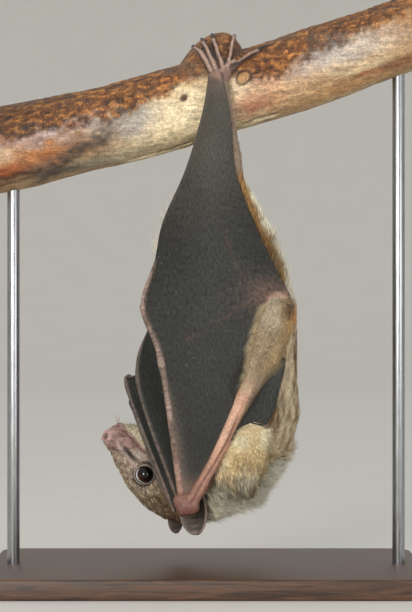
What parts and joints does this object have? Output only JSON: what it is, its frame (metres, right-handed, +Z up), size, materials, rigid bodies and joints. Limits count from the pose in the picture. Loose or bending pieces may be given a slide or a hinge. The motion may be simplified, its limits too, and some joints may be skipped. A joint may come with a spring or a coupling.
{
  "type": "hanging fruit bat",
  "caption": "Life-size fruit bat hanging head down from a cut length of branch by both feet, its wings folded round its belly, on a flat base with upright rods.",
  "frame": {"origin": "centre of the base's underside, which is the centre of the bounding box's bottom", "axes": "+Z up, the bat hangs head down; -X the side its belly faces, +X its back; -Y its right side; the perch runs along X and rises towards +X"},
  "size_m": [0.184, 0.124, 0.2401],
  "materials": {
    "fur": "soft golden-buff fur, greyer on the nape",
    "face": "short pale fur over mauve-pink skin",
    "skin": "bare pinkish-tan skin with a fine grain",
    "wing": "matt dark grey wing skin with fine wrinkles",
    "ear": "bare mauve-grey skin",
    "eye": "wet dark brown eye",
    "claw": "translucent grey-brown horn",
    "perch": "peeling branch, cream wood and orange-brown bark",
    "base": "dark oiled wood",
    "rod": "brushed steel"
  },
  "bodies": {
    "root": {"stand_base": "base", "stand_rod_left": "rod", "stand_rod_right": "rod", "perch": "perch", "head": "face", "lower_jaw": "face", "eye_right": "eye", "eye_left": "eye", "ear_right": "ear", "ear_left": "ear", "neck": "fur", "trunk": "fur", "tail": "skin", "digit_2_claw_left": "claw", "digit_2_claw_right": "claw", "digit_2_left": "skin", "digit_2_right": "skin", "digit_3_left": "skin", "digit_3_right": "skin", "digit_4_left": "skin", "digit_4_right": "skin", "digit_5_left": "skin", "digit_5_right": "skin", "flank_skin_left": "wing", "flank_skin_right": "wing", "foot_left": "skin", "foot_right": "skin", "fore_skin_left": "wing", "fore_skin_right": "wing", "forearm_left": "skin", "forearm_right": "skin", "hand_skin_inner_left": "wing", "hand_skin_inner_right": "wing", "hand_skin_outer_left": "wing", "hand_skin_outer_right": "wing", "shank_left": "skin", "shank_right": "skin", "shoulder_left": "fur", "shoulder_right": "fur", "thigh_left": "fur", "thigh_right": "fur", "thumb_claw_left": "claw", "thumb_claw_right": "claw", "thumb_left": "skin", "thumb_right": "skin", "toe_claw_left_1": "claw", "toe_claw_left_2": "claw", "toe_claw_left_3": "claw", "toe_claw_left_4": "claw", "toe_claw_left_5": "claw", "toe_claw_right_1": "claw", "toe_claw_right_2": "claw", "toe_claw_right_3": "claw", "toe_claw_right_4": "claw", "toe_claw_right_5": "claw", "upper_arm_left": "fur", "upper_arm_right": "fur", "wrist_left": "skin", "wrist_right": "skin"}
  },
  "joints": []
}
